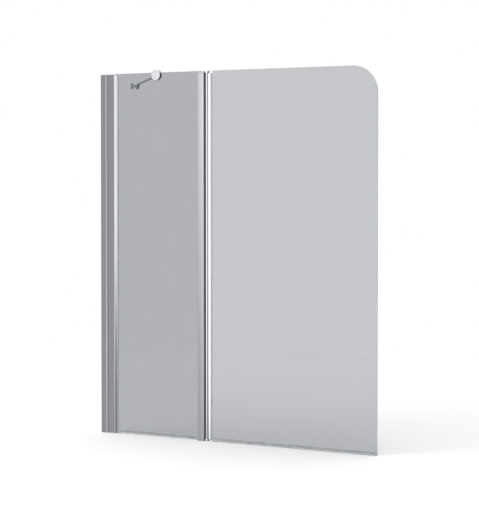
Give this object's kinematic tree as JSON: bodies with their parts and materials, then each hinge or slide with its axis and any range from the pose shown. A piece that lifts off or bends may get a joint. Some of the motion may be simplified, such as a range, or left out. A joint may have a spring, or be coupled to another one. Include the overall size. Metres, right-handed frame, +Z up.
{
  "type": "bath shower screen",
  "caption": "Glass bath screen: a narrow fixed panel in a wall profile with a brace, and a wide panel with a rounded corner that swings on a vertical hinge post.",
  "frame": {"origin": "on the wall face, at the foot of the wall profile, in the middle plane of the glass", "axes": "+X along the screen away from the wall, -Y out to the room, +Y over the bath, +Z up"},
  "size_m": [1.2, 0.226, 1.41],
  "materials": {
    "bright_aluminium": "bright anodised extrusion",
    "chrome": "polished plating",
    "stainless_steel": "plain turned",
    "safety_glass": "clear toughened, arrised edges",
    "glazing_rubber": "matt extruded",
    "clear_vinyl": "translucent extruded",
    "grey_plastic": "moulded",
    "bearing_plastic": "moulded"
  },
  "bodies": {
    "fixed_panel": {"wall_profile": "bright_aluminium", "adjusting_profile": "bright_aluminium", "hinge_post": "bright_aluminium", "pivot_bracket_top": "chrome", "pivot_bracket_bottom": "chrome", "brace_clamp": "chrome", "brace_socket": "chrome", "brace_rod": "chrome", "brace_rod_end": "chrome", "brace_wall_fork": "chrome", "brace_cap_nut": "chrome", "lock_screws": "stainless_steel", "pivot_bracket_screws": "stainless_steel", "pivot_pin_top": "stainless_steel", "pivot_pin_bottom": "stainless_steel", "brace_clamp_grub_screw": "stainless_steel", "brace_socket_screw": "stainless_steel", "brace_rod_grub_screws": "stainless_steel", "brace_fork_screw": "stainless_steel", "fixed_glass": "safety_glass", "hinge_gap_strip": "glazing_rubber", "wall_side_gasket": "clear_vinyl", "post_side_gasket": "clear_vinyl", "fixed_bottom_seal": "clear_vinyl", "brace_clamp_pads": "clear_vinyl", "top_cap": "grey_plastic", "screw_caps": "grey_plastic", "setting_blocks": "bearing_plastic"},
    "swing_panel": {"swing_hinge_profile": "bright_aluminium", "pivot_bush_top": "bearing_plastic", "pivot_bush_bottom": "bearing_plastic", "swing_gasket": "clear_vinyl", "swing_glass": "safety_glass", "swing_bottom_seal": "clear_vinyl"}
  },
  "joints": [
    {"name": "panel_swing", "type": "hinge", "parent": "fixed_panel", "child": "swing_panel", "pos_m": [0.4845, 0, 0], "axis": [0, 0, 1], "range_deg": [-90, 90]}
  ]
}
